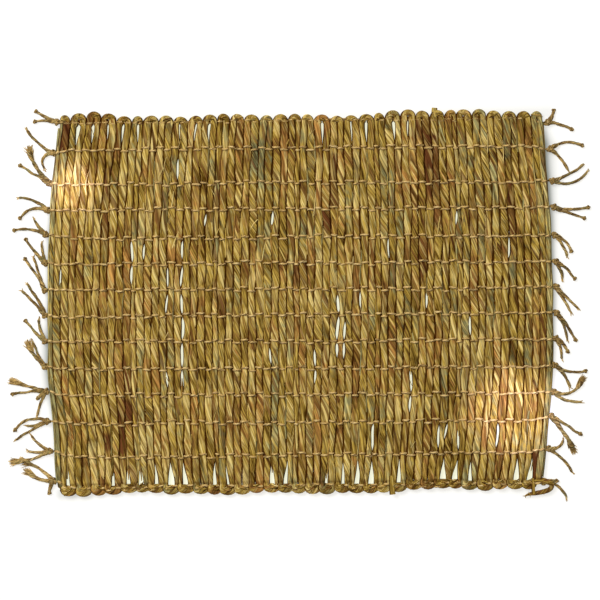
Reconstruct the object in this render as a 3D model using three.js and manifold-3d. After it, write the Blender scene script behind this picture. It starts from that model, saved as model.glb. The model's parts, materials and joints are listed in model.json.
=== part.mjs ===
// Seagrass placemat, lying flat, in millimetres with +Z up.
// One twisted seagrass cord is laid to and fro in upright runs. Pairs of thin twine cross the runs and are
// knotted at both sides, where their loose tails lie on the table.
// +X runs along the long side, +Y towards the top edge, and z = 0 is the table.

import * as THREE from 'three';
import { mergeVertices } from 'three/addons/utils/BufferGeometryUtils.js';
import Module from 'manifold-3d';

const wasm = await Module();
wasm.setup();

// The mat's outline, over the outer runs and the hairpin loops
const BODY_WIDTH = 432.5;
const BODY_HEIGHT = 321.5;
const CORNER_DRAW = 10; // each side pulls in by this much at the top and bottom edges
const DRAW_POWER = 2.2; // how late along the height the sides start to pull in
const LEAN = 0.9; // the top edge lies this far right of the middle, and the bottom edge this far left
const ROW_RISE = 2.2; // a row of twine climbs this far from left to right at mid-height
const EDGE_RISE = 5.5; // and this far at the top and bottom edges
const CENTRE = { x: -0.05, y: 0.34 }; // centres the box of the mat and its tails on the origin

// The seagrass cord
const RUNS = 68;
const CORD_HEIGHT = 4.6;
const CORD_FLAT = 0.56; // the share of the cord's width that is flat, above and below
const RUN_GAP = 0.6; // between two runs side by side
const WAVER = 0.35; // how far the line between two runs wavers
const WAVER_LENGTH = 170;
const LOOP_REACH = 5.8; // from the centre of a hairpin loop to the mat's edge
const LOOP_UNEVEN = 0.7; // how far one loop reaches past another
const LOOP_SLIT = { top: 2.9, bottom: 4.8 }; // the widest opening inside a loop
const SLIT_START = 0.83; // the share of the way from mid-height to the edge at which that opening starts
const SLIT_FULL = 0.96; // and at which it is widest
const SLIT_LEAST = 0.35; // the narrowest opening, as a share of the widest
const TURN_STEPS = 5; // straight pieces in half a turn
const RUN_STATIONS = [-1, -0.8, -0.48, -0.16, 0.16, 0.48, 0.8, 1]; // places along a run, bottom to top

// The free ends of the cord, past its first and last run
const START_TAIL = { length: 5.5, taper: 0.85 };
const HOOK = { radius: 4.2, width: 3.6, run: 12, steps: 4 };

// The rows of twine, from the top edge down
const FIRST_ROW = 158.4;
const ROW_GAPS = [25.2, 29.7, 22.1, 24, 22.5, 22.4, 22.4, 22.1, 23, 22.8, 23.4, 28.2, 27.2];
const STRAND_WIDTH = 2.4;
const STRAND_HEIGHT = 1.1;
const CLEAR = 0.3; // between the twine and the cord
const KNOT_ENTRY = 0.045; // the share of the width over which a strand leaves its line for its knot

// Knots and tails
// A knot is a bead with flat ends. It is longer along the side than it is wide, and its foot and its head are
// shares of its radius and of its height.
const KNOT = { radius: 3, stretch: 1.15, sides: 8, foot: 0.75, head: 0.7, shoulder: 0.28 };
const TAIL_WIDTH = 2.8;
const TAIL_HEIGHT = 2;
const TAIL_STEPS = 4;
const TIP_LENGTH = 0.16; // the share of a tail that widens to its tip

// A tail's length, the angle at which it leaves the knot and the angle at its tip, in degrees up from
// straight outwards, and the width of its tip where that is knotted or frayed.
const tail = (length, leaves, ends, tip = TAIL_WIDTH) => ({ length, leaves, ends, tip });

// The two sides, with an entry for each row from the top edge down: how far its knot lies above the line of
// the row, and the knot's two tails.
const LEFT_SIDE = [
  { lift: 0, tails: [tail(22, 21, 31, 3.8), tail(21, 15, -14, 3.6)] },
  { lift: -2, tails: [tail(31, 24, 60), tail(20, 8, -130)] },
  { lift: 1, tails: [tail(32, 33, 28, 3.4), tail(34, 40, 76, 7)] },
  { lift: 0, tails: [tail(28, 49, -2), tail(29, 28, -65, 3.8)] },
  { lift: 3, tails: [tail(30, 28, -15, 3.4), tail(17, 34, 70)] },
  { lift: 1, tails: [tail(28, 44, 59, 3.6), tail(18, 72, 88)] },
  { lift: 0, tails: [tail(34, 62, 54, 3.6), tail(30, 66, 76)] },
  { lift: 1, tails: [tail(31, 67, 53), tail(29, 50, 41)] },
  { lift: 1, tails: [tail(26, 39, 55, 3.4), tail(20, 60, 88)] },
  { lift: 2, tails: [tail(25, 55, 72), tail(22, 40, 62, 5)] },
  { lift: 4, tails: [tail(28, 13, 22, 4.4), tail(31, 2, -12, 3.2)] },
  { lift: 2, tails: [tail(34, 25, -60, 3.4), tail(32, -26, -34)] },
  { lift: 5, tails: [tail(22, 20, 60), tail(32, -29, -6, 4.6)] },
  { lift: 7, tails: [tail(22, -1, 35, 4.6), tail(12, -44, -99, 4)] },
];
const RIGHT_SIDE = [
  { lift: -6, tails: [tail(13, 45, 84, 4), tail(24, 2, -36, 3.6)] },
  { lift: -3, tails: [tail(32, 43, -35, 3.8), tail(25, -32, -68)] },
  { lift: 0, tails: [tail(31, 14, 42), tail(35, -24, 58)] },
  { lift: 0, tails: [tail(32, -15, 17, 3.2), tail(30, -24, -15, 3.8)] },
  { lift: 0, tails: [tail(22, -18, -75, 3.4), tail(22, -42, -78)] },
  { lift: 0, tails: [tail(24, -24, -62, 3.4), tail(17, -49, -92)] },
  { lift: 1, tails: [tail(27, -47, -43), tail(27, -62, -57)] },
  { lift: 1, tails: [tail(31, -44, -66, 3.6), tail(26, -55, -80)] },
  { lift: 1, tails: [tail(17, -24, -75, 3.2), tail(19, -55, -92)] },
  { lift: 1, tails: [tail(30, -36, 17, 3.6), tail(24, -40, -70)] },
  { lift: 1, tails: [tail(30, -27, 65, 4.4), tail(27, -46, 5)] },
  { lift: 3, tails: [tail(32, -28, -37, 3.6), tail(34, -49, -63, 8)] },
  { lift: 3, tails: [tail(17, -19, 80), tail(30, -29, -60)] },
  { lift: 1, tails: [tail(12, 20, -10, 3.6), tail(26, 4, -78, 2)] },
];

// Heights above the table, from the twine underneath to the twine on top
const CORD_BOTTOM = STRAND_HEIGHT + CLEAR;
const CORD_MIDDLE = CORD_BOTTOM + CORD_HEIGHT / 2;
const CORD_TOP = CORD_BOTTOM + CORD_HEIGHT;
const TOP_STRAND = CORD_TOP + CLEAR + STRAND_HEIGHT / 2;
const MAT_TOP = TOP_STRAND + STRAND_HEIGHT / 2;

const seagrass = new THREE.MeshStandardMaterial({ color: 0xb39650, roughness: 0.62, flatShading: true });
const twine = new THREE.MeshStandardMaterial({ color: 0xc2a468, roughness: 0.85, flatShading: true });

// A number from 0 to 1 that differs from one index to the next without a pattern that shows
function uneven(index) {
  return (index * 0.618034 + 0.37) % 1;
}

// The share of the way from mid-height to the edge, -1 at the bottom and 1 at the top
function heightShare(y) {
  return THREE.MathUtils.clamp(y / (BODY_HEIGHT / 2), -1, 1);
}

// The x of a place across the mat, where across is 0 at the left side and 1 at the right side
function acrossToX(across, y) {
  const share = heightShare(y);
  const halfWidth = BODY_WIDTH / 2 - CORNER_DRAW * Math.abs(share) ** DRAW_POWER;
  return CENTRE.x + LEAN * share + (2 * across - 1) * halfWidth;
}

// What is added to the height of a place, because the rows climb from left to right
function rise(across, y) {
  return (ROW_RISE + (EDGE_RISE - ROW_RISE) * heightShare(y) ** 2) * (across - 0.5) + CENTRE.y;
}

// The line between run number line - 1 and run number line. Line 0 is the left side, and line RUNS the right.
function runLine(line, y) {
  const waver = WAVER * Math.sin(2 * Math.PI * (y / WAVER_LENGTH + uneven(line)));
  return acrossToX(line / RUNS, y) + waver;
}

// Half the gap at that line. It opens inside the hairpin loops, from SLIT_START to the edge.
function halfGap(line, y) {
  const atTop = y > 0;
  const inLoop = line > 0 && line < RUNS && atTop === (line % 2 === 1);
  if (!inLoop) return RUN_GAP / 2;
  const open = THREE.MathUtils.smoothstep(Math.abs(heightShare(y)), SLIT_START, SLIT_FULL);
  const widest = atTop ? LOOP_SLIT.top : LOOP_SLIT.bottom;
  const opening = widest * THREE.MathUtils.lerp(SLIT_LEAST, 1, uneven(3 * line));
  return THREE.MathUtils.lerp(RUN_GAP, opening, open) / 2;
}

// The middle of a run and its width at a height
function runAt(run, y) {
  const left = runLine(run, y) + halfGap(run, y);
  const right = runLine(run + 1, y) - halfGap(run + 1, y);
  return { x: (left + right) / 2, width: right - left };
}

// The height at which a run starts its turn, where run and the next one share a loop
function turnStart(run, atTop) {
  const reach = LOOP_REACH + LOOP_UNEVEN * (uneven(5 * run + 2) - 0.5);
  return (atTop ? 1 : -1) * (BODY_HEIGHT / 2 - reach);
}

// A closed solid that follows stations in plan. Each has its place, its direction and the section's width
// there. The outline is the section at unit width and real height.
function sweep(outline, stations, middleHeight) {
  const steps = stations.length - 1;
  const extruded = new THREE.ExtrudeGeometry(outline, { depth: steps, steps, bevelEnabled: false });
  const points = extruded.attributes.position;
  for (let i = 0; i < points.count; i += 1) {
    const station = stations[Math.round(points.getZ(i))];
    const aside = points.getX(i) * station.width;
    points.setXYZ(
      i,
      station.x - station.direction.y * aside,
      station.y + station.direction.x * aside,
      middleHeight + points.getY(i),
    );
  }
  extruded.deleteAttribute('normal');
  extruded.deleteAttribute('uv');
  return mergeVertices(extruded, 1e-4);
}

// Adds the direction of travel to a list of places, from the places before and after each
function withDirections(places) {
  return places.map((place, i) => {
    const before = places[Math.max(i - 1, 0)];
    const after = places[Math.min(i + 1, places.length - 1)];
    const direction = new THREE.Vector2(after.x - before.x, after.y - before.y).normalize();
    return { ...place, direction };
  });
}

// The cord's section: flat above and below, with blunt sides
function cordOutline() {
  const half = CORD_HEIGHT / 2;
  const flat = CORD_FLAT / 2;
  return new THREE.Shape([
    new THREE.Vector2(0.5, 0),
    new THREE.Vector2(flat, half),
    new THREE.Vector2(-flat, half),
    new THREE.Vector2(-0.5, 0),
    new THREE.Vector2(-flat, -half),
    new THREE.Vector2(flat, -half),
  ]);
}

function stripOutline(height) {
  return new THREE.Shape([
    new THREE.Vector2(0.5, -height / 2),
    new THREE.Vector2(0.5, height / 2),
    new THREE.Vector2(-0.5, height / 2),
    new THREE.Vector2(-0.5, -height / 2),
  ]);
}

// The places along one run, in the direction in which the cord travels
function runPlaces(run) {
  const upwards = run % 2 === 0;
  const top = turnStart(upwards ? run : run - 1, true);
  const bottom = turnStart(upwards ? run - 1 : run, false);
  const places = RUN_STATIONS.map((share) => {
    const y = THREE.MathUtils.lerp(bottom, top, (share + 1) / 2);
    const { x, width } = runAt(run, y);
    return { x, y: y + rise((run + 0.5) / RUNS, y), width };
  });
  return upwards ? places : places.reverse();
}

// The places round the hairpin loop from one run's end to the next run's start
function turnPlaces(from, to, atTop) {
  const middle = { x: (from.x + to.x) / 2, y: (from.y + to.y) / 2 };
  const radius = (to.x - from.x) / 2;
  const places = [];
  for (let step = 1; step < TURN_STEPS; step += 1) {
    const angle = (Math.PI * step) / TURN_STEPS;
    places.push({
      x: middle.x - radius * Math.cos(angle),
      y: middle.y + (atTop ? 1 : -1) * radius * Math.sin(angle),
      width: Math.min((from.width + to.width) / 2, 2 * radius - RUN_GAP),
    });
  }
  return places;
}

// The loose end after the last run, hooked to the left under the loop beside it
function hookPlaces(from) {
  const places = [];
  for (let step = 1; step <= HOOK.steps; step += 1) {
    const angle = ((Math.PI / 2) * step) / HOOK.steps;
    places.push({
      x: from.x - HOOK.radius * (1 - Math.cos(angle)),
      y: from.y - LOOP_REACH - HOOK.radius * Math.sin(angle),
      width: THREE.MathUtils.lerp(from.width, HOOK.width, step / HOOK.steps),
    });
  }
  const bend = places[places.length - 1];
  places.push({ x: bend.x - HOOK.run, y: bend.y, width: HOOK.width });
  return places;
}

function seagrassCord() {
  const places = [];
  for (let run = 0; run < RUNS; run += 1) {
    const next = runPlaces(run);
    if (run > 0) places.push(...turnPlaces(places[places.length - 1], next[0], run % 2 === 1));
    places.push(...next);
  }
  const start = places[0];
  places.unshift({ x: start.x, y: start.y - START_TAIL.length, width: start.width * START_TAIL.taper });
  places.push(...hookPlaces(places[places.length - 1]));
  return new THREE.Mesh(sweep(cordOutline(), withDirections(places), CORD_MIDDLE), seagrass);
}

// A round bead with a flat underside, squashed between the outer run and the tails
function knot(place) {
  const profile = [
    new THREE.Vector2(0, 0),
    new THREE.Vector2(KNOT.foot * KNOT.radius, 0),
    new THREE.Vector2(KNOT.radius, KNOT.shoulder * MAT_TOP),
    new THREE.Vector2(KNOT.radius, (1 - KNOT.shoulder) * MAT_TOP),
    new THREE.Vector2(KNOT.head * KNOT.radius, MAT_TOP),
    new THREE.Vector2(0, MAT_TOP),
  ];
  const bead = new THREE.LatheGeometry(profile, KNOT.sides);
  bead.rotateX(Math.PI / 2);
  bead.rotateZ(Math.PI / KNOT.sides);
  bead.scale(1, KNOT.stretch, 1);
  bead.translate(place.x, place.y, 0);
  bead.deleteAttribute('normal');
  bead.deleteAttribute('uv');
  return mergeVertices(bead, 1e-4);
}

// One loose tail on the table, turning evenly along its length. outwards is -1 at the left, 1 at the right.
function tailStrip(place, shape, outwards) {
  const shares = [];
  for (let step = 0; step < TAIL_STEPS; step += 1) shares.push((step / TAIL_STEPS) * (1 - TIP_LENGTH));
  shares.push(1 - TIP_LENGTH, 1);
  const places = [{ x: place.x, y: place.y, width: TAIL_WIDTH }];
  for (let i = 1; i < shares.length; i += 1) {
    const last = places[i - 1];
    const step = (shares[i] - shares[i - 1]) * shape.length;
    const middle = (shares[i] + shares[i - 1]) / 2;
    const heading = THREE.MathUtils.degToRad(THREE.MathUtils.lerp(shape.leaves, shape.ends, middle));
    places.push({
      x: last.x + outwards * step * Math.cos(heading),
      y: last.y + step * Math.sin(heading),
      width: i === shares.length - 1 ? shape.tip : TAIL_WIDTH,
    });
  }
  return sweep(stripOutline(TAIL_HEIGHT), withDirections(places), TAIL_HEIGHT / 2);
}

// A strand from knot to knot, straight along its row and bent towards the knots near both sides
function strand(knots, y, middleHeight) {
  const entry = (across) => ({ x: acrossToX(across, y), y: y + rise(across, y) });
  const route = [knots[0], entry(KNOT_ENTRY), entry(1 - KNOT_ENTRY), knots[1]];
  const places = route.map((place) => ({ ...place, width: STRAND_WIDTH }));
  return sweep(stripOutline(STRAND_HEIGHT), withDirections(places), middleHeight);
}

function toSolid(geometry) {
  return new wasm.Manifold(
    new wasm.Mesh({
      numProp: 3,
      vertProperties: new Float32Array(geometry.attributes.position.array),
      triVerts: new Uint32Array(geometry.index.array),
    }),
  );
}

function toGeometry(solid) {
  const mesh = solid.getMesh();
  const geometry = new THREE.BufferGeometry();
  geometry.setAttribute('position', new THREE.BufferAttribute(mesh.vertProperties, 3));
  geometry.setIndex(new THREE.BufferAttribute(mesh.triVerts, 1));
  return geometry;
}

// Where a row's knot lies, against the outer run. side is 0 at the left and 1 at the right.
function knotPlace(side, y, lift) {
  const outwards = side === 0 ? -1 : 1;
  const edge = runLine(side * RUNS, y + lift) - (outwards * RUN_GAP) / 2;
  return { x: edge + outwards * (CLEAR + KNOT.radius), y: y + lift + rise(side, y) };
}

// One pair of twine: a strand over the runs and one under them, a knot at each side, and their tails
function twinePair(left, right, y) {
  const knots = [knotPlace(0, y, left.lift), knotPlace(1, y, right.lift)];
  const pieces = [
    strand(knots, y, STRAND_HEIGHT / 2),
    strand(knots, y, TOP_STRAND),
    ...knots.map(knot),
    ...left.tails.map((shape) => tailStrip(knots[0], shape, -1)),
    ...right.tails.map((shape) => tailStrip(knots[1], shape, 1)),
  ];
  const solid = pieces.map(toSolid).reduce((whole, piece) => whole.add(piece));
  return new THREE.Mesh(toGeometry(solid), twine);
}

const placemat = new THREE.Group();

const cord = seagrassCord();
cord.name = 'seagrass_cord';
placemat.add(cord);

let rowHeight = FIRST_ROW;
LEFT_SIDE.forEach((left, index) => {
  const pair = twinePair(left, RIGHT_SIDE[index], rowHeight);
  pair.name = `twine_pair_${String(index + 1).padStart(2, '0')}`;
  placemat.add(pair);
  rowHeight -= ROW_GAPS[index] ?? 0;
});

export default placemat;
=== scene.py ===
"""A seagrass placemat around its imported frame: a twisted cord laid to and fro, rows of twine and a stage."""

import json
import math
from functools import partial

import bpy
import numpy as np
from bpy.props import FloatProperty, FloatVectorProperty, PointerProperty
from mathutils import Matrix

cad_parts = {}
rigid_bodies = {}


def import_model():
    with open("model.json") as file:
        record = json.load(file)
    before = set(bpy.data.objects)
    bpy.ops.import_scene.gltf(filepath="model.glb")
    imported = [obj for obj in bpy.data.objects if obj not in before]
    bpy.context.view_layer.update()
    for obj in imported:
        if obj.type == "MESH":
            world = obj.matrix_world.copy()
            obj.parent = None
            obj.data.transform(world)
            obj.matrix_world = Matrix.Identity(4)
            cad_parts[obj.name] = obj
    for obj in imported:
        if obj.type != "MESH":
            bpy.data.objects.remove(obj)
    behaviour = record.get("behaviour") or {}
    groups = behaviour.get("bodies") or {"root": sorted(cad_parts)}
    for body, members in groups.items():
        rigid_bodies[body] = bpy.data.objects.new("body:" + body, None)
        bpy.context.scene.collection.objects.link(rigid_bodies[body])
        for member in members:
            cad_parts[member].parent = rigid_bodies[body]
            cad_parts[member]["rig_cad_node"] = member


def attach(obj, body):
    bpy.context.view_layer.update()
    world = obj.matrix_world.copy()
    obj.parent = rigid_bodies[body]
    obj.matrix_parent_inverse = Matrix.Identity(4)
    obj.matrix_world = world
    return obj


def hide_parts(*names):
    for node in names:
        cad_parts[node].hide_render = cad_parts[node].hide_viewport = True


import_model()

bl_info = {
    "name": "Seagrass placemat",
    "version": (1, 0, 0),
    "blender": (4, 5, 0),
    "location": "3D View > Sidebar > Placemat",
    "description": "Lays a twisted seagrass cord to and fro, weaves twine through it and sets the stage",
    "category": "Object",
}

# Lengths below are in millimetres, as in the CAD source, unless they are said to be in metres
MM = 0.001
SEED = 68
SIDES = ((0, -1), (1, 1))  # the left and the right side, with the way out from each
AWAY = {True: 1, False: -1}  # the way out from the top edge, True, and the bottom edge, False

# The mat's outline, over the outer runs and the hairpin loops
BODY_WIDTH = 432.5
BODY_HEIGHT = 321.5
CORNER_DRAW = 10
DRAW_POWER = 2.2
LEAN = 0.9
ROW_RISE = 2.2
EDGE_RISE = 5.5
CENTRE = (-0.05, 0.34)

# The cord's runs and loops. A pair with True and False is for the top and for the bottom edge.
RUNS = 68
WAVER = 0.35
WAVER_LENGTH = 170
LINE_UNEVEN = 2.3
LINE_WAVES = [(47, 0.4, 7), (83, 0.5, 11), (26, 0.2, 13)]  # as (length, size, step of the start)
LOOP_UNEVEN = 1.3
PLAIN_SLIT = {True: -0.4, False: 0.1}  # inside a loop that isn't in the tables
SLIT_START = {True: 0.83, False: 0.815}
SLIT_FULL = 0.95
CORD_MIDDLE = 3.7
CORD_HALF_HEIGHT = 2.35
HUG = -0.35  # the gap between two runs side by side, which press into each other
ROW_PINCH = 2.6  # how far above and below a row its twine presses the cord
BOUND_HEIGHT = 0.84  # the share of the cord's height that is left under the twine
RING_STEP = 1.4  # along the cord, from one ring of the mesh to the next
CORD_PIECES = 4

# A hairpin loop: how far its middle line turns past the runs' ends, and half its width at the turn
TURN_DEPTH = {True: 3.3, False: 4.4}
TURN_HALF_WIDTH = {True: 2.7, False: 4.1}
TURN_RINGS = 10
HALF_LOOP = 6.3
LOOP_BULGE = {True: 0, False: 1.5}  # how far a loop spreads over its neighbours
LOOP_TILT = {True: 0.2, False: 0.8}  # a loop's first leg lies higher than its second

# The cord's two ends at the bottom corners, as (x, y, half width), and how far they sink to the table
START_END = [(-202.0, -164.6, 0.7), (-202.2, -161.5, 1.5), (-203.2, -158, 2.2)]
FREE_END = [
    (209.7, -151.8, 2.4), (213.9, -153.4, 2.1), (215.6, -156.2, 2), (213.2, -159.2, 2), (207.9, -161, 2),
    (201.9, -162.2, 1.8), (196.8, -163, 1.4), (192.5, -164.6, 0.4),
]
END_SINK = 1.4
OUTER_LEG = 326  # along the cord, the length of the first and of the last run
LOOSE_END = 46
LOWER_SEAM = -152.8  # the height of a painted dark line where the bottom loops pinch their runs

# How far the loops reach past the mat's edge, as (x, reach)
REACH = {
    True: [
        (-205, 2.7), (-190, 4.5), (-172, 5.9), (-160, 4.7), (-150, 1.9), (-98, 1.4), (-68, 3.1), (-38, 1.2),
        (-10, 2.5), (16, 0.7), (40, 0.4), (66, 1.6), (82, 4), (155, 3.8), (175, 2.5), (205, 1.5),
    ],
    False: [
        (-205, 1.4), (-165, 2.6), (-146, 0), (-128, -0.6), (-108, 1.4), (-60, 2.4), (-20, 1.3), (15, 2.6),
        (60, 2.7), (85, 1.3), (108, 0.4), (126, -1.2), (150, 1.2), (205, 1),
    ],
}

# Rows of twine from the top edge down
FIRST_ROW = 158.4
ROW_GAPS = [25.2, 29.7, 22.1, 24, 22.5, 22.4, 22.4, 22.1, 23, 22.8, 23.4, 28.2, 27.2]
ROWS = FIRST_ROW - np.cumsum([0, *ROW_GAPS])

# Places where two runs part so that the floor shows, as (x, top, bottom, width)
PARTED = [
    (-102, 6, -72, 1.9), (-99.5, 53, 41, 1.6), (-100.6, 31, 16, 1.5), (-112, 30, 14, 1), (-113, 6, -7, 1.5),
    (53, 8, -3, 1.2), (77, 55, 40, 0.9), (-133, 50, 40, 1.6), (-146, 53, 20, 1.8), (-115, -60, -68, 1.5),
    (-106, 123, 110, 1.5), (-82, 75, 69, 1.5), (-22, 78, 68, 1.6), (-24, -40, -50, 1.4), (29, 5, -43, 2),
    (14.5, -42, -66, 1.6), (39, -18, -44, 1.7), (63, -104, -124, 1.8), (92, -57, -91, 1.9), (108, 8, -2, 1.5),
    (115, -108, -122, 1.6), (127, -105, -115, 1.6), (133, 77, 69, 1.5), (135, -110, -124, 1.6),
    (145, -11, -26, 1.6), (169, -105, -123, 1.9), (-203, 30, 8, 1.2), (176, 60, 40, 1.3),
]
PART_MORE = 0.4  # the runs press back into a parting by this
PART_PINCH = 3.2

# Places where a line between two runs is pushed aside, as (line, y, half length, shift)
NUDGES = [(1, 135, 28, -0.5), (2, 135, 28, -0.4), (67, -140, 25, -1.5), (66, -140, 25, -1.2)]

# The outer runs are thinner than the others, and the lines beside them stand closer to the sides
OUTER_THIN = 2.5
OUTER_SPREAD = 12

# Where the sides come in, as (side, middle, half length, how far)
SIDE_DIPS = [(0, -108, 27, 3), (0, 20, 60, 0.8), (1, 122, 32, 2.6), (1, 60, 45, 1.4), (1, 0, 45, 0.8)]

# Slits inside the loops, as (x, width)
SLITS = {
    True: [
        (-191, 3), (-178, 2.4), (-160.6, 1.2), (-147, 1.8), (-134, 1.8), (-98.3, 0.9), (-86.5, 1.2),
        (-74.3, 1.9), (21.6, 2.1), (44.7, 1), (57, 2.2), (82.8, 2.2), (97, 1), (201, 0.8),
    ],
    False: [
        (-194, 2.6), (-154, 2.2), (-139, 3), (-127, 3.8), (-116, 2.6), (-105, 5.2), (-91, 3.8), (-77, 2.8),
        (-65, 1.6), (-29, 3.8), (-16, 3), (21, 2), (34, 2.2), (48, 3.8), (60.5, 4.4), (88, 3.2), (124, 5.2),
        (138, 4.6), (152, 2.8), (178, 4.6), (191, 4.6),
    ],
}

# Dark stained stretches of the cord, as (x, y, half width, half length, depth)
STAINS = [
    (111, 130, 4, 15, 1.0), (113, 113, 8, 22, 0.55), (105, 150, 4, 9, 0.6), (179, 74, 3.5, 31, 0.6),
    (-166, 64, 4, 14, 0.6), (26, 94, 3.4, 11, 0.6), (200, -139, 3.2, 12, 1.0), (24, 71, 3.5, 11, 0.55),
    (-150, -92, 4, 11, 0.7), (74, 6, 4, 13, 0.5), (-199.9, 143, 2.9, 13, 1.0), (-165, 103, 4, 14, 0.5),
    (-17, 117, 2.4, 12, 0.85), (28.5, 116, 2.2, 13, 0.8), (-148, -68, 4, 11, 0.6), (-65, -1, 3, 10, 0.5),
    (150, 87, 3, 14, 0.45), (-152, -45, 3, 8, 0.6), (0, 25, 4, 9, 0.45), (102, 47, 4, 10, 0.45),
    (-70, 88, 3, 9, 0.45), (116, 76, 3, 9, 0.5), (46, -38, 4, 8, 0.45), (103, 27, 4, 10, 0.45),
    (-63, 22, 3, 9, 0.45), (207, -160, 12, 7, 0.4), (142, -82, 3, 6, 0.5), (-152, -115, 1.8, 13, 0.8),
    (-166, -119, 1.8, 7, 0.7), (-12, 151, 3, 6, 0.4), (47, 8, 3, 6, 0.45),
]

# How things vary along the cord, as (spacing of the changes, their size)
PITCH = 88  # the length in which the cord twists once round
PITCH_DRIFT = (34, 0.95)
TURN_PITCH = 0.15  # the share of it that is left in a turn
HEIGHT_DRIFT = (17, 0.07)
WIDTH_DRIFT = (11, 0.05)
MIDDLE_DRIFT = (23, 0.22)
TONE_DRIFTS = [(14, 0.16), (42, 0.11), (330, 0.05)]
HUE_DRIFTS = [(26, 0.62), (90, 0.44)]
# How strong the painted shade at the sides of a run is
SIDE_SHADE_GAIN_DRIFT = (9, 0.15)
PATCH_WAVES = 14
PATCH_DEPTH = 0.035
PATCH_LENGTH = (45, 170)
PAINTED_LIGHT_FALL = 0.0001  # painted fall of light from the left: the tone drops by this for each mm from left to right
# How the outer runs, the bottom loops and the loose end differ in tone and in hue from the rest
LEG_BLEND = 8
OUTER_TONE = 0.04
OUTER_TONE_BELOW = 0.08  # more in the lower part
TURN_TONE = 0.1
LOOSE_TONE = 0.12
OUTER_HUE = 0.9
TURN_HUE = 0.3
LOOSE_HUE = -0.5
# Painted shade where the bottom loops pinch their runs, and in patches on the loops
PINCH_SHADE = 0.55
PINCH_HALF_LENGTH = 1.1
TURN_SHADE = 0.4
TURN_SHADE_STEP = 4

# The twine
THREAD_RADIUS = 1.02
THREAD_APART = 1.15  # half the distance between a row's two threads
THREAD_LIFT = 2.8  # from the cord's middle to a thread's
EDGE_LIFT = {0: 1.3, 13: 1.9}  # in the rows that run through the loops
THREAD_STEPS = 5  # in each run
THREAD_PITCH = 1.5  # the length in which it twists by one radian
FIRST_ROW_DROP = 2
TAIL_RADIUS = 1.3
TAIL_PITCH = 2.6
TAIL_STEPS = 28
KNOT_RADIUS = 3
KNOT_MIDDLE = 3.2
KNOT_ENTRY = 0.045  # the share of a row in which its threads run together to a knot
TIP_SHARE = 0.16
PLAIN_TIP = 2.8
KNOTTED_TIP = 3.1  # and above
FRAYED_TIP = 4.2  # and above
FIBRES = {True: 60, False: 4}  # at a tip that is frayed, True, or plain
FIBRE_SPREAD = {True: 0.13, False: 0.3}
FIBRE_LENGTH = {True: (7, 9.5), False: (1.5, 4)}
FIBRE_OFFSET = {True: 1.6, False: 0.8}
FIBRE_SHAPE = [0.4, 0.45, 0.45, 0.4, 0.22]  # half widths
SIDE_KNOT = (0.8, 1.2, KNOT_MIDDLE)  # size, half width of the strand, and height of the middle
TIP_KNOT = (0.48, 0.8, 1.8)
TWINE_CREASE = math.radians(100)

# For each row from the top edge down: how far its knot lies above the row's line, and its tails, as (length,
# direction in degrees at the knot, and at the tip, tip's width if it isn't plain)
LEFT_SIDE = [
    (0, (22, 21, 31, 3.8), (21, 15, -14, 3.6)),
    (-2, (31, 24, 60), (20, 8, -130)),
    (1, (32, 33, 28, 3.4), (34, 40, 76, 7)),
    (0, (28, 49, -2), (29, 28, -65, 3.8)),
    (3, (30, 28, -15, 3.4), (17, 34, 70)),
    (1, (28, 44, 59, 3.6), (18, 72, 88)),
    (0, (34, 62, 54, 3.6), (30, 66, 76)),
    (1, (31, 67, 53), (29, 50, 41)),
    (1, (26, 39, 55, 3.4), (20, 60, 88)),
    (2, (25, 55, 72), (22, 40, 62, 5)),
    (4, (28, 13, 22, 4.4), (31, 2, -12, 3.2), (23, -58, -80), (10, -30, -50, 3.4)),
    (2, (34, 25, -60, 3.4), (32, -26, -34), (19, -24, -2)),
    (5, (22, 20, 60), (32, -29, -6, 4.6), (19, -8, 8)),
    (7, (22, -1, 35, 4.6), (12, -44, -99, 4), (31, 48, 20, 4.4)),
]
RIGHT_SIDE = [
    (-6, (13, 45, 84, 4), (24, 2, -36, 3.6)),
    (-3, (32, 43, -35, 3.8), (25, -32, -68)),
    (0, (31, 14, 42), (35, -24, 58)),
    (0, (32, -15, 17, 3.2), (30, -24, -15, 3.8)),
    (0, (22, -18, -75, 3.4), (22, -42, -78)),
    (0, (24, -24, -62, 3.4), (17, -49, -92)),
    (1, (27, -47, -43), (27, -62, -57)),
    (1, (31, -44, -66, 3.6), (26, -55, -80)),
    (1, (17, -24, -75, 3.2), (19, -55, -92)),
    (1, (30, -36, 17, 3.6), (24, -40, -70)),
    (1, (30, -27, 65, 4.4), (27, -46, 5)),
    (3, (32, -28, -37, 3.6), (34, -49, -63, 8)),
    (3, (17, -19, 80), (30, -29, -60)),
    (1, (12, 20, -10, 3.6), (26, 4, -78, 2)),
]

# The painted shadow on the floor beside the left and the right side, from bottom to top, as (y, depth, reach)
SIDE_SHADE = [
    [
        (-155, 0, 2), (-145, 0.2, 2), (-115, 0.4, 2.5), (-90, 0.55, 3), (-75, 0.7, 4), (-60, 0.85, 4.8),
        (-30, 0.85, 4.8), (-15, 0.65, 2.8), (63, 0.65, 2.6), (100, 0.3, 1.5), (150, 0, 1.5),
    ],
    [
        (-150, 0, 1.5), (-142, 0.15, 1.5), (-65, 0.45, 1.8), (-31, 0.65, 2.6), (3, 0.75, 3.6),
        (55, 0.85, 4.6), (68, 0.85, 5), (93, 0.9, 5.5), (110, 0.92, 6.5), (138, 0.9, 7), (150, 0.4, 5),
        (160, 0, 3),
    ],
]
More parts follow.
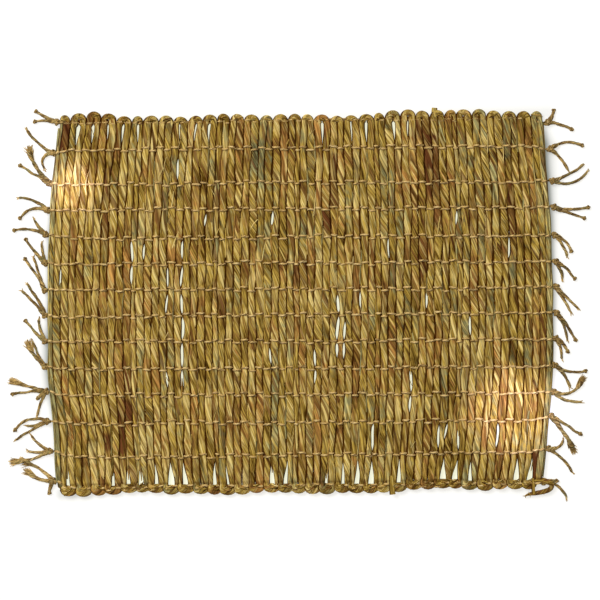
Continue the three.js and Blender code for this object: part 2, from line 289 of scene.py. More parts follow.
# Its painted shadow beyond the bottom and the top edge, from left to right, as (x, depth, reach)
END_SHADE = [
    [
        (-212, 0, 3), (-206, 0.3, 4), (-188, 0.3, 4), (-170, 0.07, 3.5), (180, 0.06, 3.5), (200, 0.14, 6),
        (215, 0.1, 6),
    ],
    [(-215, 0.12, 4), (-180, 0.07, 4), (100, 0.08, 4), (160, 0.14, 5), (215, 0.16, 6)],
]
# The colour that the painted shadow darkens the floor towards
PAINTED_SHADOW_TINT = np.array([0.1, 0.13, 0.1])
PAINTED_BOUNCE_TINT = np.array([1.06, 1.09, 0.89])  # painted warm light that the mat throws on the floor in its slits
EDGE_OFF = 162.4
SHADE_FALL = 1.5
SHADE_END = (3, 8)  # how far under the mat its painted shadow ends
CORNER_END = (213, 220)  # how far from the middle the painted shadow of the top and the bottom edge ends
SIDE_BLEND = (-3, 0)  # where the painted warm light ends, off a side of the mat, and off its top or bottom edge
END_BLEND = (-6, -2)
FLOOR_GLOW = (1.0, 0.99, 0.95, 1)
# The faces of the floor, as (from, to, step): small beside and beyond the mat, large beneath it
FLOOR_REACH = 3000
BESIDE = (198, 236, 1.2)
BEYOND = (150, 184, 1.2)
BENEATH_ACROSS = (-192, 193, 24)
BENEATH_DOWN = (-144, 145, 6)

# Slivers of leaf
PATTERN_LENGTH = 9000  # strands start at random places in this length of the leaf pattern
SLIVERS = 170
SLIVER_X = (-205, 205)
SLIVER_Y = (-150, 145)
SLIVER_LENGTH = (7, 24)
SLIVER_WIDTH = (0.22, 0.5)
SLIVER_RISE = (0.3, 1.1)
CORD_TOP = 5.4
SLIVER_SHAPE = np.array([0.5, 1, 1, 1, 0.9, 0.7, 0.25])
SEAM_STRANDS = 150
SEAM_HEIGHT = 5.2
SEAM_HUES = [-0.6, 0.1, 0.9]
SEAM_Y = (-135, 135)
SEAM_LENGTH = (14, 46)
SEAM_WIDTH = 0.8
GREY_WIDTH = 1.5
HOOK_HAIRS = 40
HAIR_SHAPE = [0.3, 0.34, 0.3, 0.24, 0.1]
HAIR_LENGTH = (2, 4.5)
LOOP_WRAPS = {True: 3, False: 5}  # short leaves laid over a loop
WRAP_HEIGHT = 6.2
WRAP_WIDTH = (0.35, 0.7)
SIDE_LEAF = (-151, 153, 1.2, 4.3)  # the green leaf along an outer run: from, to, half width and height
# Greyish strands that stand in for the shade between runs, as painted shade, as (line, top, bottom, hue, tone)
GREY_SHADE_STRANDS = [
    (2, -80, -148, 0.6, -0.4), (3, -88, -148, 0.6, -0.4), (5, -100, -148, 0.6, -0.35),
    (6, -112, -148, 0.6, -0.4), (8, -95, -146, 0.6, -0.4), (67, 153, 126, 0.8, -0.15),
    (64, 153, 128, 0.8, -0.2), (66, 130, 84, 0.6, -0.4),
]
# Loose leaves that stick out, each as points of (x, y, half width), with its height, tone and hue
LOOSE_LEAVES = [
    ([(115, 157, 2), (114.8, 163, 2.5), (115, 168.2, 2.4)], 4, 0.2, 0.5),
    ([(77.7, -147, 1.8), (78.2, -156, 2.3), (79, -163.2, 2.6)], 6, -0.05, 0.1),
    ([(198.9, -149, 1.3), (199.3, -156.8, 1.6), (199.8, -163, 1.5)], 6, -0.15, -0.3),
    ([(195.9, -152.1, 0.9), (205.4, -151.3, 1.5), (215.7, -153.4, 1.3)], 5.4, -0.1, -0.2),
]

# The camera, and two patches of window light on the mat, as (name, x, y, diameter in metres, power)
CAMERA_X = -0.31
CAMERA_Y = 3.43
GLINTS = [("Left glint", -196, 102, 0.055, 145), ("Right glint", 184, -93, 0.095, 118)]
GLINT_COLOR = (0.68, 0.64, 1.0)
# The heights and sizes of the lights, in metres
GLINT_HEIGHT = 1.2
GLINT_LAMP = 0.01
KEY_PLACE = (-1.8, 1.6, 3)
KEY_SIZE = 1.8

# The values of every ring of a line, those that are lengths, and the attributes that a finished mesh lacks
LENGTHS = ("half_width", "half_height", "along")
RING_VALUES = (*LENGTHS, "twist", "tone", "hue", "stain", "crowd", "shade")
HELPERS = (*LENGTHS, "twist", "crowd", "centre", "aside", "upward", "turn", "reach", "leaf")


# Where things lie on the mat


def uneven(index):
    """A number from 0 to 1 for each index, by the golden ratio, that neighbours don't share."""
    return (index * 0.618034 + 0.37) % 1


def lerp(a, b, share):
    return a + (b - a) * share


def smooth(share):
    return share * share * (3 - 2 * share)


def ease(value, low, high):
    return smooth(np.clip((value - low) / (high - low), 0, 1))


def bell(value, middle, half_width):
    return np.exp(-(((value - middle) / half_width) ** 2))


def turned(x, y, angle):
    return x * math.cos(angle) - y * math.sin(angle), x * math.sin(angle) + y * math.cos(angle)


def height_share(y):
    return np.clip(y / (BODY_HEIGHT / 2), -1, 1)


def across_to_x(across, y):
    share = height_share(y)
    half_width = BODY_WIDTH / 2 - CORNER_DRAW * np.abs(share) ** DRAW_POWER
    return CENTRE[0] + LEAN * share + (2 * across - 1) * half_width


def x_to_across(x, y):
    left, right = across_to_x(0, y), across_to_x(1, y)
    return (x - left) / (right - left)


def rise(across, y):
    return (ROW_RISE + (EDGE_RISE - ROW_RISE) * height_share(y) ** 2) * (across - 0.5) + CENTRE[1]


def near_row(y, width):
    """1 on a row of twine, falling to 0 away from it."""
    return np.max([bell(y, row, width) for row in ROWS], axis=0)


def run_line(line, y):
    return across_to_x(line / RUNS, y) + WAVER * np.sin(math.tau * (y / WAVER_LENGTH + uneven(line)))


def side_shift(line, y):
    """How far a line stands off its even place, for the thin outer runs and where the sides come in."""
    shift = 0 * y
    for side, outwards in SIDES:
        far = abs(line - side * RUNS)
        if 0 < far < OUTER_SPREAD:
            shift = shift + outwards * OUTER_THIN * (1 - (far - 1) / (OUTER_SPREAD - 1))
        for at, middle, half_length, depth in SIDE_DIPS:
            if at == side and far < OUTER_SPREAD:
                shift = shift - outwards * depth * bell(y, middle, half_length) * (1 - far / OUTER_SPREAD)
    return shift


def line_x(line, y):
    """Where a line between two runs lies, or a side of the mat, which has no small waves."""
    x = run_line(line, y) + side_shift(line, y)
    if line in (0, RUNS):
        return x
    share = min(1, min(line, RUNS - line) / 4)
    x = x + share * LINE_UNEVEN * (uneven(line * 5 + 1) - 0.5)
    for length, size, step in LINE_WAVES:
        x = x + share * size * np.sin(math.tau * (y / length + uneven(line * step + step)))
    for at, middle, half_length, far in NUDGES:
        if at == line:
            x = x + far * bell(y, middle, half_length)
    return x


def parted(line, y):
    """How far the runs on both sides of a line part, away from the loops."""
    opening = 0 * y
    for x, top, bottom, width in PARTED:
        if round(float(x_to_across(x, (top + bottom) / 2)) * RUNS) == line:
            shape = ease(y, bottom - 5, bottom + 3) * (1 - ease(y, top - 3, top + 5))
            opening = np.maximum(opening, (width + PART_MORE) * shape)
    return opening * (1 - near_row(y, PART_PINCH))


def slit_width(line, at_top):
    place = float(across_to_x(line / RUNS, BODY_HEIGHT / 2))
    near = [width for x, width in SLITS[at_top] if abs(x - place) < HALF_LOOP]
    return near[0] if near else PLAIN_SLIT[at_top]


def half_gap(line, y):
    """Half the distance between the runs on both sides of a line."""
    at_top = y > 0
    gap = HUG + parted(line, y)
    if 0 < line < RUNS:
        in_loop = at_top == (line % 2 == 1)
        widest = np.where(at_top, slit_width(line, True), slit_width(line, False))
        start = np.where(at_top, SLIT_START[True], SLIT_START[False])
        opening = lerp(HUG, widest, ease(np.abs(height_share(y)), start, SLIT_FULL))
        opening = lerp(opening, HUG, ease(y, ROWS[0] - 4, ROWS[0] - 2))
        gap = np.where(in_loop, np.maximum(opening, gap), gap)
    return gap / 2


def run_sides(run, y):
    return line_x(run, y) + half_gap(run, y), line_x(run + 1, y) - half_gap(run + 1, y)


def turn_start(run, at_top):
    """The height at which a run starts its turn, where run and the next one share a loop."""
    x = float(across_to_x((run + 1) / RUNS, AWAY[at_top] * BODY_HEIGHT / 2))
    reach = np.interp(x, *np.transpose(REACH[at_top])) + LOOP_UNEVEN * (uneven(5 * run + 2) - 0.5)
    return AWAY[at_top] * (BODY_HEIGHT / 2 + reach - TURN_DEPTH[at_top] - TURN_HALF_WIDTH[at_top])


def knot_place(side, y, lift):
    edge = float(run_line(side * RUNS, y + lift))
    return np.array([edge + (KNOT_RADIUS if side else -KNOT_RADIUS), y + lift + rise(side, y)])


# Lines that a tube follows, with a value for every ring


def drift(rng, along, spacing, size=1):
    """A smooth random value from -size to size along a length."""
    knots = rng.uniform(-1, 1, int(along[-1] / spacing) + 3)
    low = np.floor(along / spacing).astype(int)
    return size * lerp(knots[low], knots[low + 1], smooth(along / spacing - low))


def lengths_along(points):
    return np.cumsum([0, *np.linalg.norm(np.diff(points, axis=0), axis=1)])


def line_of(points, half_width, half_height=None, along=None, closed=False, **values):
    """One line for the twist tree. A value is one number or one for each point, and 0 if it isn't given."""
    values["half_width"] = half_width
    values["half_height"] = half_width if half_height is None else half_height
    values["along"] = lengths_along(points) if along is None else along
    rings = {key: np.broadcast_to(np.asarray(values.get(key, 0), float), len(points)) for key in RING_VALUES}
    return {"points": np.asarray(points, float), "closed": closed, **rings}


def resampled(points, step):
    """The same route through evenly spaced points, on a smooth curve."""
    points = np.asarray(points, float)
    padded = np.vstack([2 * points[0] - points[1], points, 2 * points[-1] - points[-2]])
    t = np.arange(0, 1, 0.05)[:, None]
    fine = []
    for p0, p1, p2, p3 in zip(padded, padded[1:], padded[2:], padded[3:]):
        bend, twist = 2 * p0 - 5 * p1 + 4 * p2 - p3, 3 * p1 - p0 - 3 * p2 + p3
        fine.append(0.5 * (2 * p1 + (p2 - p0) * t + bend * t**2 + twist * t**3))
    fine = np.vstack([*fine, points[-1]])
    along = lengths_along(fine)
    places = np.linspace(0, along[-1], max(3, int(round(along[-1] / step)) + 1))
    return np.column_stack([np.interp(places, along, column) for column in fine.T])


def guide_mesh(name, lines):
    """Lines as a mesh of edges, in metres, with their values as named attributes."""
    points = np.vstack([line["points"] for line in lines]) * MM
    edges, start = [], 0
    for line in lines:
        rings = np.arange(start, start + len(line["points"]))
        pairs = np.column_stack([rings, np.roll(rings, -1)]).tolist()
        edges += pairs if line["closed"] else pairs[:-1]
        start += len(rings)
    mesh = bpy.data.meshes.new(name)
    mesh.from_pydata(points.tolist(), edges, [])
    for key in RING_VALUES:
        values = np.concatenate([line[key] for line in lines]) * (MM if key in LENGTHS else 1)
        mesh.attributes.new(key, "FLOAT", "POINT").data.foreach_set("value", values.astype(np.float32))
    return mesh


# Node trees


def sum_method(operation, flipped=False):
    """A method that does a sum with a node's output, by a maths node in the same tree."""
    def method(self, other):
        return maths(operation, other, self) if flipped else maths(operation, self, other)
    return method


class Wired:
    """A node's output, which sums take like a number. With a key it gives another output of its node."""

    def __init__(self, socket):
        self.socket = socket

    def __getitem__(self, key):
        return Wired(self.socket.node.outputs[key])

    __add__, __sub__, __mul__ = sum_method("ADD"), sum_method("SUBTRACT"), sum_method("MULTIPLY")
    __truediv__, __mod__, __pow__ = sum_method("DIVIDE"), sum_method("MODULO"), sum_method("POWER")
    __rsub__, __rtruediv__ = sum_method("SUBTRACT", flipped=True), sum_method("DIVIDE", flipped=True)


def fill(node, inputs):
    """Joins or fills a node's inputs, which are given by name or by number."""
    for key, value in inputs.items():
        if isinstance(value, Wired):
            node.id_data.links.new(value.socket, node.inputs[key])
        else:
            node.inputs[key].default_value = value


def wire(tree, kind, inputs=None, **settings):
    """Adds a node, sets it up, joins or fills its inputs, and gives its first output."""
    node = tree.nodes.new(kind)
    for key, value in settings.items():
        setattr(node, key, value)
    fill(node, inputs or {})
    return Wired(node.outputs[0]) if node.outputs else None


def maths(operation, *values, kind="ShaderNodeMath"):
    tree = next(value.socket.id_data for value in values if isinstance(value, Wired))
    return wire(tree, kind, dict(enumerate(values)), operation=operation)


def vector_maths(operation, *values):
    return maths(operation, *values, kind="ShaderNodeVectorMath")


def clamped(value):
    """The same output, kept from 0 to 1."""
    value.socket.node.use_clamp = True
    return value


def mixed(tree, share, a, b, blend="MIX"):
    """A mix of two colours."""
    return wire(tree, "ShaderNodeMix", {"Factor": share, 6: a, 7: b}, data_type="RGBA", blend_type=blend)[2]


def add_sockets(tree, sockets, side="INPUT"):
    """Adds a group's inputs or outputs, each by its default value or by the name of its kind."""
    for name, value in sockets.items():
        kind = value if isinstance(value, str) else {int: "Int", float: "Float", tuple: "Color"}[type(value)]
        socket = tree.interface.new_socket(name, in_out=side, socket_type="NodeSocket" + kind)
        if kind != value:
            socket.default_value = value


LAST_POINT = 0.95  # where a leaf's last point lies, as a share of the way to the next leaf
PLY_ROUND = 0.6
CREASE = math.radians(48)


def twist_tree():
    """Geometry nodes that turn guide lines into twisted strands of overlapping leaves."""
    tree = bpy.data.node_groups.new("Twisted strand", "GeometryNodeTree")
    tree.is_modifier = True
    add_sockets(tree, {
        "Geometry": "Geometry", "Leaves": 6, "Points in a leaf": 3, "Leaf overlap": 0.0, "Leaf step": 0.0,
        "Groove depth": 0.0, "Groove shade": 0.0, "Squeeze": 1.0, "Level": 0.0, "Lump length": 0.02,
        "Lump height": 0.0, "Seed": SEED, "Edge angle": CREASE, "Material": "Material",
    })
    add_sockets(tree, {"Geometry": "Geometry"}, "OUTPUT")
    add = partial(wire, tree)
    source = add("NodeGroupInput")

    def store(geometry, kind="FLOAT", **values):
        for name, value in values.items():
            inputs = {"Geometry": geometry, "Name": name, "Value": value}
            geometry = add("GeometryNodeStoreNamedAttribute", inputs, data_type=kind, domain="POINT")
        return geometry

    def named(name, kind="FLOAT"):
        return add("GeometryNodeInputNamedAttribute", {"Name": name}, data_type=kind)["Attribute"]

    # The guide lines keep their places and directions for every ring
    curve = add("GeometryNodeMeshToCurve", {"Mesh": source["Geometry"]})
    tangent, normal = add("GeometryNodeInputTangent"), add("GeometryNodeInputNormal")
    level = vector_maths("NORMALIZE", vector_maths("CROSS_PRODUCT", tangent, (0, 0, 1)))
    aside = add("ShaderNodeMix", {0: source["Level"], 4: normal, 5: level}, data_type="VECTOR")[1]
    curve = store(curve, "FLOAT_VECTOR", centre=add("GeometryNodeInputPosition"), aside=aside,
                  upward=vector_maths("CROSS_PRODUCT", aside, tangent))

    # The section: every leaf starts tucked under the one before it and ends on top of the next
    leaves, points = source["Leaves"], source["Points in a leaf"]
    index = add("GeometryNodeInputIndex")
    leaf = maths("FLOOR", index / points)
    place = index % points
    to_edge = place / (points - 1)
    places = {0: source["Leaf overlap"], 2: place / points, 3: to_edge * LAST_POINT}
    turn = (leaf + add("ShaderNodeMix", places, data_type="FLOAT")) * (math.tau / leaves)
    ply = maths("ABSOLUTE", maths("SINE", turn)) ** PLY_ROUND
    reach = (1 - source["Leaf step"] * (1 - to_edge)) * (1 - source["Groove depth"] * (1 - ply))
    # Tuck marks where painted shade falls: in the crease under a leaf's edge, and in the groove between the
    # plies
    tuck = maths("LESS_THAN", place, 0.5) * (1 - ply * 0.5)
    tuck = maths("MAXIMUM", tuck, (1 - ply) ** 2 * source["Groove shade"])
    section = add("GeometryNodeCurvePrimitiveCircle", {"Resolution": leaves * points, "Radius": 1})
    section = store(section, turn=turn, leaf=leaf, reach=reach, tuck=tuck)

    # The tube, with lumps that differ from leaf to leaf
    tube = add("GeometryNodeCurveToMesh", {"Curve": curve, "Profile Curve": section, "Fill Caps": True})
    lump = add("ShaderNodeTexNoise", {"Scale": 1, "Detail": 1, "Vector": add("ShaderNodeCombineXYZ", {
        0: named("along") / source["Lump length"], 1: named("leaf") * 7.31 + source["Seed"]})})
    far = named("reach") * ((lump - 0.5) * (source["Lump height"] * 2) + 1)
    angle = named("turn") + named("twist")
    across = far * maths("COSINE", angle)
    pressed = maths("MAXIMUM", maths("MINIMUM", across * source["Squeeze"], 1), -1)
    upwards = named("half_height") * far * maths("SINE", angle)
    steps = [
        add("ShaderNodeVectorMath", {0: named(way, "FLOAT_VECTOR"), "Scale": size}, operation="SCALE")
        for way, size in (("aside", named("half_width") * pressed), ("upward", upwards))
    ]
    moved = vector_maths("ADD", vector_maths("ADD", *steps), named("centre", "FLOAT_VECTOR"))
    # Side: how far across its run a point lies, for the painted shade at the sides of the run
    tube = store(tube, side=maths("ABSOLUTE", across) * named("crowd"))
    tube = add("GeometryNodeSetPosition", {"Geometry": tube, "Position": moved})
    strand = add("ShaderNodeCombineXYZ", {
        0: maths("COSINE", named("turn")) * named("half_width"),
        1: maths("SINE", named("turn")) * named("half_width"),
        2: named("along"),
    })
    tube = store(tube, "FLOAT_VECTOR", strand=strand)
    crease = maths("GREATER_THAN", add("GeometryNodeInputMeshEdgeAngle"), source["Edge angle"])
    tube = add("GeometryNodeSetShadeSmooth", {"Geometry": tube, "Shade Smooth": True}, domain="FACE")
    sharp = {"Geometry": tube, "Selection": crease, "Shade Smooth": False}
    tube = add("GeometryNodeSetShadeSmooth", sharp, domain="EDGE")
    tube = add("GeometryNodeFlipFaces", {"Mesh": tube})
    tube = add("GeometryNodeRealizeInstances", {"Geometry": tube})
    tube = add("GeometryNodeSetMaterial", {"Geometry": tube, "Material": source["Material"]})
    add("NodeGroupOutput", {"Geometry": tube})
    return tree


# How a leaf's colour changes: patches of leaf by their width, length and shift, and how much each one tells
SLOW_PATCH = (0.02, 0.045, (3, 1, 7))
SLOW_TONE = 0.35
MIDDLE_TONE = 0.505
MOTTLE_PATCH = (0.0028, 0.006, (1, 8, 2))
MOTTLE_HUE = 1.9
LEAF_HUE = 0.5
STREAK_LENGTH = 14  # a fibre's, as a number of its widths
GREEN_ABOVE = 0.3
RED_BELOW = -0.22
HUE_GAIN = 1.4
# Ramps, as (from the first value, to the second, from the third, to the fourth)
# The first two ramps are painted shade: along the edges of leaves, and at the sides of a run
EDGE_RAMP = (0.02, 0.16, 1, 0)
SIDE_RAMP = (0.44, 0.6, 0, 1)
STAINED_LEAVES = (0.85, 0.92, 0, 0.7)
PALE_LEAVES = (0.12, 0.05, 0, 0.5)


def fibre_group():
    """Shader nodes for anything made of twisted leaf: colour with painted shade in its folds, roughness and
    height over the surface.
    """
    tree = bpy.data.node_groups.new("Leaf fibre", "ShaderNodeTree")
    add_sockets(tree, {
        "Strand": "Vector", "Tuck": 0.0, "Side": 0.0, "Shade": 0.0, "Tone": 0.0, "Hue": 0.0, "Stain": 0.0,
        "Leaf width": 0.0014, "Leaf length": 0.055, "Leaf contrast": 0.47, "Fibre width": 0.0008,
        "Fibre contrast": 1.5, "Tuck shade": 0.7, "Edge shade": 0.5, "Side shade": 0.0,
        "Painted shade": (0.115, 0.05, 0.0, 1), "Dark": (0.1, 0.05, 0.02, 1), "Middle": (0.35, 0.22, 0.06, 1),
        "Light": (0.7, 0.5, 0.2, 1), "Green": (0.3, 0.3, 0.08, 1), "Red": (0.4, 0.18, 0.05, 1),
        "Stained": (0.06, 0.02, 0.01, 1),
    })
    add_sockets(tree, {"Color": "Color", "Roughness": "Float", "Height": "Float"}, "OUTPUT")
    add, mix = partial(wire, tree), partial(mixed, tree)
    source = add("NodeGroupInput")

    def stretched(width, length, shift):
        scale = add("ShaderNodeCombineXYZ", {0: 1 / width, 1: 1 / width, 2: 1 / length})
        return vector_maths("ADD", vector_maths("MULTIPLY", source["Strand"], scale), shift)

    def noise(width, length, shift, detail=2):
        place = stretched(width, length, shift)
        return add("ShaderNodeTexNoise", {"Vector": place, "Scale": 1, "Detail": detail})

    def cells(feature):
        place = stretched(source["Leaf width"], source["Leaf length"], (0, 0, 0))
        return add("ShaderNodeTexVoronoi", {"Vector": place, "Scale": 1, "Randomness": 1}, feature=feature)

    def ramp(value, values, kind="LINEAR"):
        return add("ShaderNodeMapRange", {0: value, **dict(enumerate(values, 1))}, interpolation_type=kind)

    def centred(value, amount):
        return (value - 0.5) * amount

    leaves = cells("F1")
    leaf = add("ShaderNodeSeparateColor", {0: leaves["Color"]})
    fibres = noise(source["Fibre width"], source["Fibre width"] * STREAK_LENGTH, (0, 5, 0))
    tone = centred(leaf["Red"], source["Leaf contrast"]) + centred(fibres, source["Fibre contrast"])
    tone = tone + centred(noise(*SLOW_PATCH), SLOW_TONE) + source["Tone"] + MIDDLE_TONE
    color = mix(clamped(tone * 2), source["Dark"], source["Middle"])
    color = mix(clamped(tone * 2 - 1), color, source["Light"])

    # The leaf's hue, and leaves that are pale or stained
    hue = source["Hue"] + centred(leaf["Green"], LEAF_HUE) + centred(noise(*MOTTLE_PATCH, 1), MOTTLE_HUE)
    depth = tone * 1.3 + 0.35
    tinted = add("ShaderNodeCombineColor", {0: depth, 1: depth, 2: depth})
    greener, redder = clamped((hue - GREEN_ABOVE) * HUE_GAIN), clamped((RED_BELOW - hue) * HUE_GAIN)
    color = mix(greener, color, mix(1, source["Green"], tinted, "MULTIPLY"))
    color = mix(redder, color, mix(1, source["Red"], tinted, "MULTIPLY"))
    color = mix(ramp(leaf["Blue"], PALE_LEAVES), color, source["Light"])
    color = mix(ramp(leaf["Blue"], STAINED_LEAVES), color, source["Stained"])
    color = mix(clamped(source["Stain"] * (leaf["Blue"] * 1.25 + 0.55)), color, source["Stained"])

    # Painted shade where little light comes in: folds between leaves, plies and runs, and the painted shade
    # that the lines carry
    edge = ramp(cells("DISTANCE_TO_EDGE"), EDGE_RAMP, "SMOOTHSTEP")
    side = ramp(source["Side"], SIDE_RAMP, "SMOOTHSTEP")
    light = (1 - source["Tuck"] * source["Tuck shade"]) * (1 - side * source["Side shade"])
    light = light * (1 - edge * source["Edge shade"]) * (1 - source["Shade"])
    color = mix(1, color, mix(1 - light, (1, 1, 1, 1), source["Painted shade"]), "MULTIPLY")
    height = fibres + leaves["Distance"] * -0.5
    add("NodeGroupOutput", {"Color": color, "Roughness": fibres * 0.3 + 0.5, "Height": height})
    return tree


def leaf_material(name, values, bump):
    """A material that places the leaf fibre group with its own values."""
    material = bpy.data.materials.new(name)
    material.use_nodes = True
    tree = material.node_tree
    inputs = {"Strand": wire(tree, "ShaderNodeAttribute", attribute_name="strand")["Vector"]}
    for key in ("tuck", "side", "shade", "tone", "hue", "stain"):
        inputs[key.capitalize()] = wire(tree, "ShaderNodeAttribute", attribute_name=key)["Fac"]
    group = bpy.data.node_groups.get("Leaf fibre") or fibre_group()
    fibre = wire(tree, "ShaderNodeGroup", {**inputs, **values}, node_tree=group)
    bumped = wire(tree, "ShaderNodeBump", {"Height": fibre["Height"], "Strength": bump, "Distance": 0.0003})
    fill(tree.nodes["Principled BSDF"], {
        "Base Color": fibre["Color"], "Roughness": fibre["Roughness"], "Normal": bumped,
        "Specular IOR Level": 0.02,
    })
    return material


# The floor's painted shadow and painted warm light


def fading(places, at, off):
    """How dark the painted shadow on the floor is at a distance from an edge, by a table of (place, depth,
    reach).
    """
    starts, depths, reaches = np.transpose(places)
    depth, reach = np.interp(at, starts, depths), np.interp(at, starts, reaches)
    return depth * np.exp(-((np.maximum(off, 0) / reach) ** SHADE_FALL)) * (1 - ease(-off, *SHADE_END))


def floor_painted_light(x, y):
    """What the floor's colour is multiplied by at a point: painted shadow beside the mat, painted warm bounce
    light beneath it.
    """
    shade = 0 * x
    beneath = 1 + shade
    for side, outwards in SIDES:
        off = outwards * (x - line_x(side * RUNS, y))
        past = outwards * (y - rise(x / (RUNS * HALF_LOOP) + 0.5, outwards * EDGE_OFF)) - EDGE_OFF
        shade = np.maximum(shade, fading(SIDE_SHADE[side], y, off))
        end_shade = fading(END_SHADE[side], x, past) * (1 - ease(np.abs(x), *CORNER_END))
        shade = np.maximum(shade, end_shade)
        # The painted warm light stays on the floor beneath the mat
        beneath = beneath * (1 - ease(off, *SIDE_BLEND)) * (1 - ease(past, *END_BLEND))
    painted_light = (1 + shade[:, None] * (PAINTED_SHADOW_TINT - 1)) * (1 + beneath[:, None] * (PAINTED_BOUNCE_TINT - 1))
    return np.column_stack([painted_light, 1 + 0 * x])


def floor_mesh():
    """The floor, with small faces by the edges of the mat, where its painted shadow lies."""
    beside, beyond = np.arange(*BESIDE), np.arange(*BEYOND)
    across, down = (
        np.concatenate([[-FLOOR_REACH], -small[::-1], np.arange(*large), small, [FLOOR_REACH]])
        for small, large in ((beside, BENEATH_ACROSS), (beyond, BENEATH_DOWN))
    )
    x, y = (side.ravel() for side in np.meshgrid(across, down))
    count = len(across)
    corners = count * np.arange(len(down) - 1)[:, None] + np.arange(count - 1)
    faces = corners.reshape(-1, 1) + [0, 1, count + 1, count]
    mesh = bpy.data.meshes.new("floor")
    mesh.from_pydata(np.column_stack([x * MM, y * MM, 0 * x]).tolist(), [], faces.tolist())
    mesh.attributes.new("painted_light", "FLOAT_COLOR", "POINT").data.foreach_set("color", floor_painted_light(x, y).ravel())
    return mesh


def floor_material(color):
    """A matt floor that shines a little, so that it stays pale, with the painted shadow and painted bounce
    light of its points.
    """
    material = bpy.data.materials.new("Floor")
    material.use_nodes = True
    tree = material.node_tree
    painted_light = wire(tree, "ShaderNodeAttribute", attribute_name="painted_light")
    fill(tree.nodes["Principled BSDF"], {
        "Base Color": mixed(tree, 1, (*color, 1), painted_light, "MULTIPLY"), "Roughness": 0.9,
        "Emission Color": mixed(tree, 1, FLOOR_GLOW, painted_light, "MULTIPLY"), "Emission Strength": 0.75,
        "Specular IOR Level": 0.1,
    })
    return material


# Pieces


def placed(name, data, at=(0, 0, 0)):
    """Adds an object to the scene, at a place in metres."""
    made = bpy.data.objects.new(name, data)
    made.location = at
    bpy.context.scene.collection.objects.link(made)
    return made


def twisted(name, lines, values):
    """The mesh that the twist tree makes of lines, with its helper attributes taken off."""
    tree = bpy.data.node_groups.get("Twisted strand") or twist_tree()
    holder = placed(name + "_guide", guide_mesh(name + "_guide", lines))
    modifier = holder.modifiers.new("Twist", "NODES")
    modifier.node_group = tree
    for item in tree.interface.items_tree:
        if item.item_type == "SOCKET" and item.in_out == "INPUT" and item.name in values:
            modifier[item.identifier] = values[item.name]
    evaluated = holder.evaluated_get(bpy.context.evaluated_depsgraph_get())
    mesh = bpy.data.meshes.new_from_object(evaluated)
    holder.modifiers.remove(modifier)
    bpy.data.objects.remove(holder)
    for key in HELPERS:
        if key in mesh.attributes:
            mesh.attributes.remove(mesh.attributes[key])
    mesh.name = name
    if not mesh.polygons:
        raise RuntimeError(f"the twist tree made nothing for {name}")
    return mesh


def joined(name, meshes):
    """Several meshes as one, with their attributes."""
    if len(meshes) == 1:
        return meshes[0]
    holders = [placed(mesh.name, mesh) for mesh in meshes]
    with bpy.context.temp_override(active_object=holders[0], selected_editable_objects=holders):
        bpy.ops.object.join()
    mesh = holders[0].data
    bpy.data.objects.remove(holders[0])
    mesh.name = name
    return mesh


def piece(name, mesh, slot, *nodes):
    """Puts a finished mesh on the mat, in place of the CAD nodes named."""
    made = placed(name, mesh)
    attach(made, "root")
    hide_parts(*nodes)


# The seagrass cord


def stain_at(x, y):
    depth = np.zeros(len(x))
    for centre_x, centre_y, half_width, half_length, strength in STAINS:
        beside = 1 - ease(np.abs(x - centre_x), half_width - 0.6, half_width + 0.9)
        along = 1 - ease(np.abs(y - centre_y), half_length - 2, half_length + 3)
        depth = np.maximum(depth, strength * beside * along)
    return depth


def cord_route():
    """The cord's middle line from end to end. Each ring has x, y, half width, share of a leg, and lift."""
    route = []

    def lay(x, y, half_width, leg_share, lift):
        route.append(np.stack(np.broadcast_arrays(x, y, half_width, leg_share, lift), axis=1))

    for run in range(RUNS):
        at_top = run % 2 == 1  # the loop before this run
        top, bottom = turn_start(run - at_top, True), turn_start(run - 1 + at_top, False)
        y = np.linspace(bottom, top, int(round((top - bottom) / RING_STEP)) + 1)
        if at_top:
            y = y[::-1]
        left, right = run_sides(run, y)
        x, height, half_width = (left + right) / 2, y + rise((run + 0.5) / RUNS, y), (right - left) / 2
        if run == 0:
            first = resampled(START_END + [(x[0], height[0], half_width[0])], RING_STEP)[:-1]
            lay(*first.T, 0.3, lerp(-END_SINK, 0, np.linspace(0, 1, len(first))))
        else:
            before = route[-1][-1]
            angle = np.linspace(0, np.pi, TURN_RINGS + 1)[1:-1]
            radius = (x[0] - before[0]) / 2
            share = np.sin(angle)
            lay(
                before[0] + radius * (1 - np.cos(angle)) - LOOP_BULGE[at_top] * np.sin(2 * angle),
                lerp(before[1], height[0], angle / np.pi) + AWAY[at_top] * TURN_DEPTH[at_top] * share,
                lerp(lerp(before[2], half_width[0], angle / np.pi), TURN_HALF_WIDTH[at_top], share**1.3),
                np.minimum(1, 1.6 * (1 - share**2.2)),
                LOOP_TILT[at_top] * np.sin(2 * angle),
            )
        lay(x, height, half_width * (1 - 0.03 * near_row(y, ROW_PINCH)), 1, 0)
    last = resampled([(x[-1], height[-1], half_width[-1])] + FREE_END, RING_STEP)[1:]
    lay(*last.T, 0.2, lerp(0, -END_SINK, ease(np.linspace(0, 1, len(last)), 0.2, 1)))
    return np.vstack(route)


def patches(flat):
    """Broad, soft changes of tone over the whole mat."""
    rng = np.random.default_rng(SEED + 5)
    tone = np.zeros(len(flat))
    for _ in range(PATCH_WAVES):
        heading, length, start = (rng.uniform(*ends) for ends in ((0, math.tau), PATCH_LENGTH, (0, math.tau)))
        along = flat[:, 0] * math.cos(heading) + flat[:, 1] * math.sin(heading)
        tone += np.sin(math.tau * along / length + start)
    return PATCH_DEPTH * tone / math.sqrt(PATCH_WAVES / 2)


